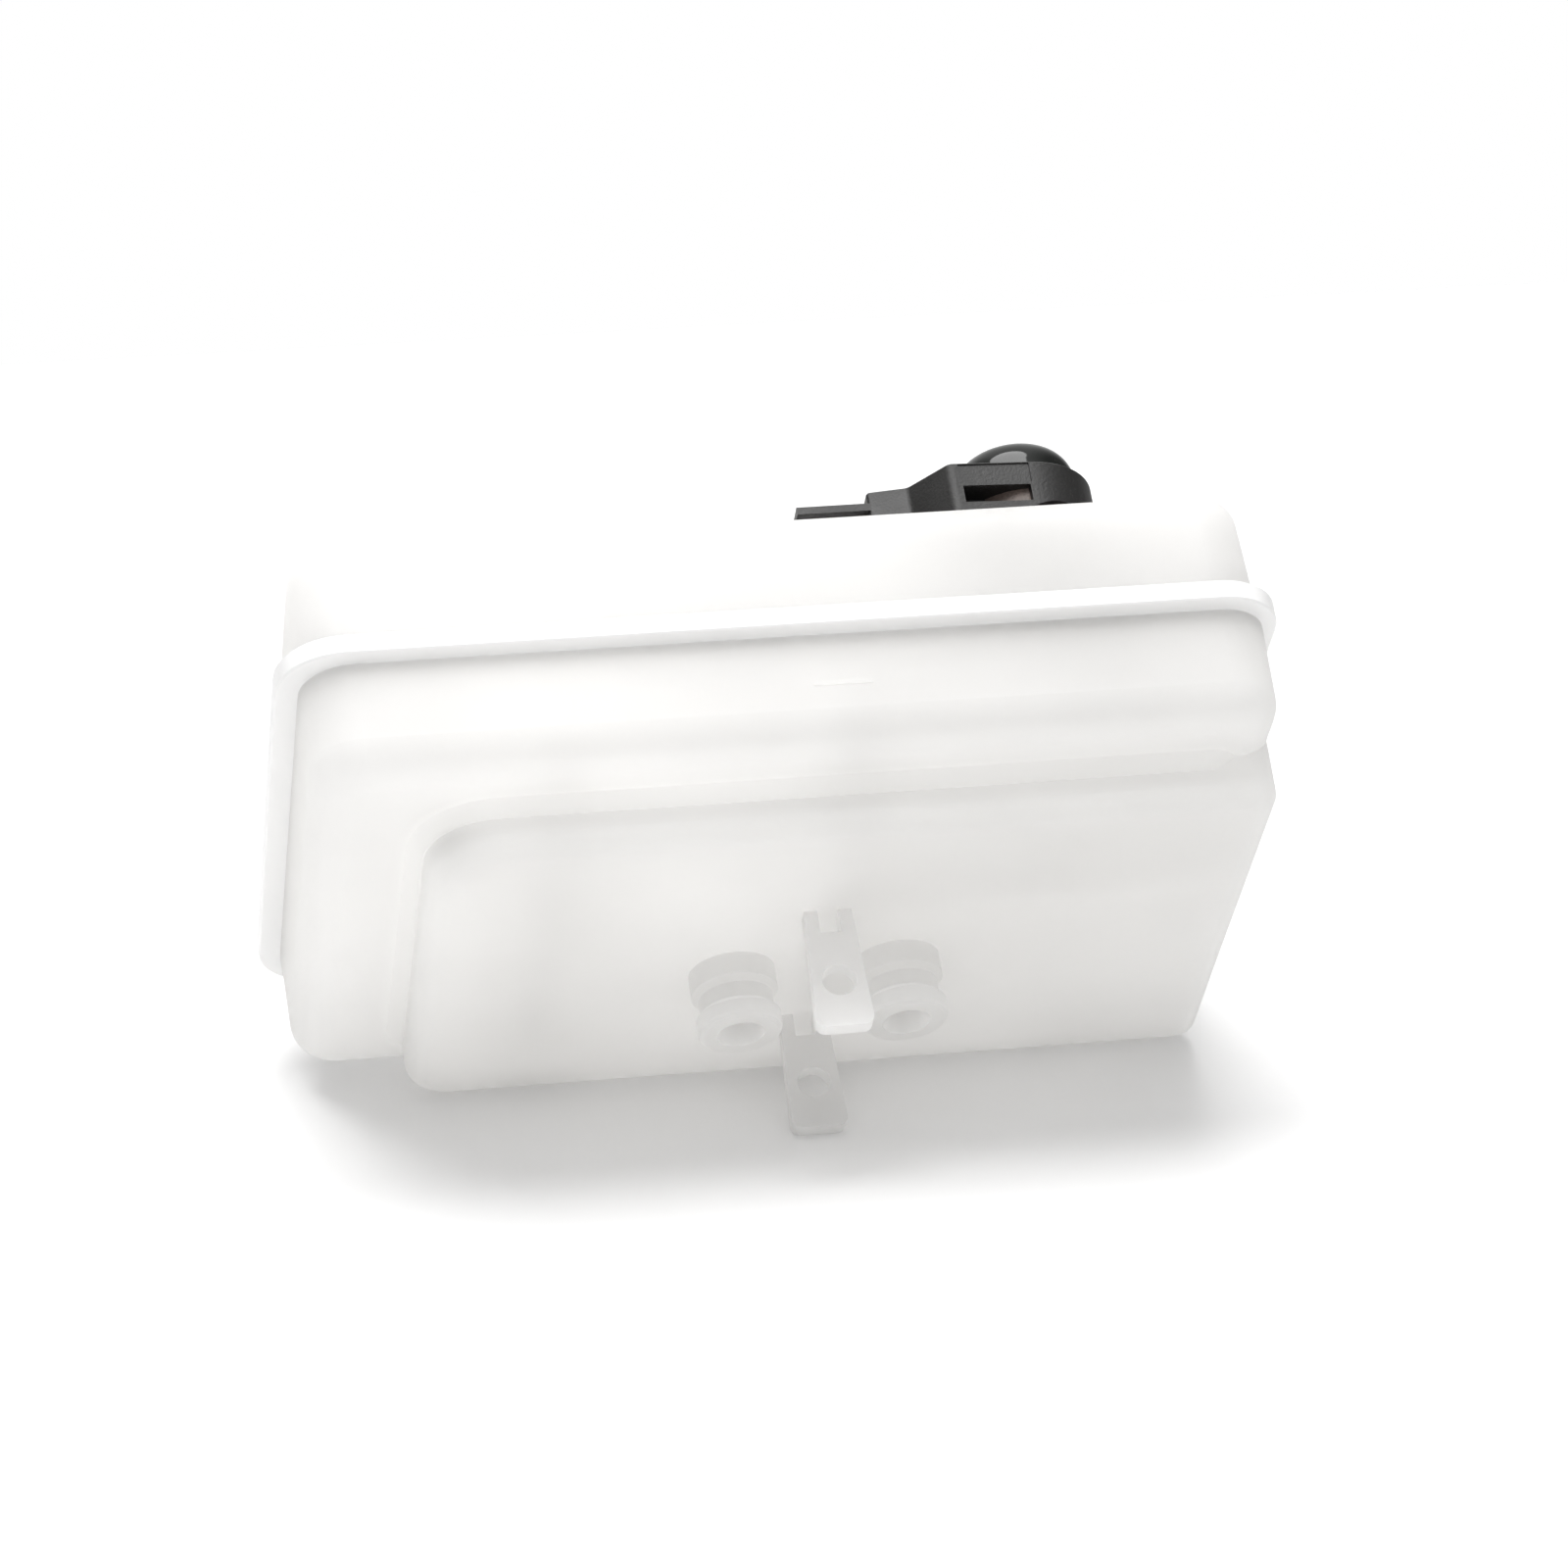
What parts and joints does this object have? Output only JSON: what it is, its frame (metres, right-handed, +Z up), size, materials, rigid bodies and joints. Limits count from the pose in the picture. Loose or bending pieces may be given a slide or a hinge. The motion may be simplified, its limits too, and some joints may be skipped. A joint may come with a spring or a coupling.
{
  "type": "brake fluid reservoir",
  "caption": "Translucent welded fluid tank with a black level-switch cap, spool-shaped outlet spigots below and slotted lugs for a retaining pin.",
  "frame": {"origin": "on the retaining pin's axis, midway between the two lugs and between the outlet spigots", "axes": "+X along the reservoir towards the cap's end, +Y towards its rear along the retaining pin, +Z up along the cap and the spigots"},
  "size_m": [0.2232, 0.1456, 0.1287],
  "materials": {
    "natural_plastic": "natural translucent moulded plastic, satin",
    "strainer_plastic": "natural moulded plastic",
    "black_plastic": "black moulded plastic, satin",
    "brown_plastic": "brownish grey moulded plastic",
    "gloss_black": "glossy black",
    "gasket_rubber": "black rubber",
    "terminal_metal": "tinned brass",
    "stem_plastic": "pale grey moulded plastic",
    "reed_glass": "glass capsule",
    "float_foam": "dark closed-cell foam",
    "magnet": "dark ferrite"
  },
  "bodies": {
    "tank": {"lower_shell": "natural_plastic", "upper_shell": "natural_plastic", "strainer": "strainer_plastic"},
    "seal": {"cap_gasket": "gasket_rubber"},
    "cap": {"filler_cap": "black_plastic", "cap_insert": "brown_plastic", "cap_dome": "gloss_black", "terminal_front": "terminal_metal", "terminal_rear": "terminal_metal", "sensor_stem": "stem_plastic", "reed_switch": "reed_glass", "float_stop": "stem_plastic"},
    "float": {"level_float": "float_foam", "float_magnet": "magnet"}
  },
  "joints": [
    {"name": "cap_lift", "type": "slide", "parent": "tank", "child": "seal", "axis": [0, 0, 1], "range_m": [0, 0.07]},
    {"name": "cap_turn", "type": "hinge", "parent": "seal", "child": "cap", "pos_m": [0.0544, -0.05, 0.1], "axis": [0, 0, 1], "range_deg": [0, 90]},
    {"name": "float_travel", "type": "slide", "parent": "cap", "child": "float", "axis": [0, 0, 1], "range_m": [0, 0.03]}
  ]
}
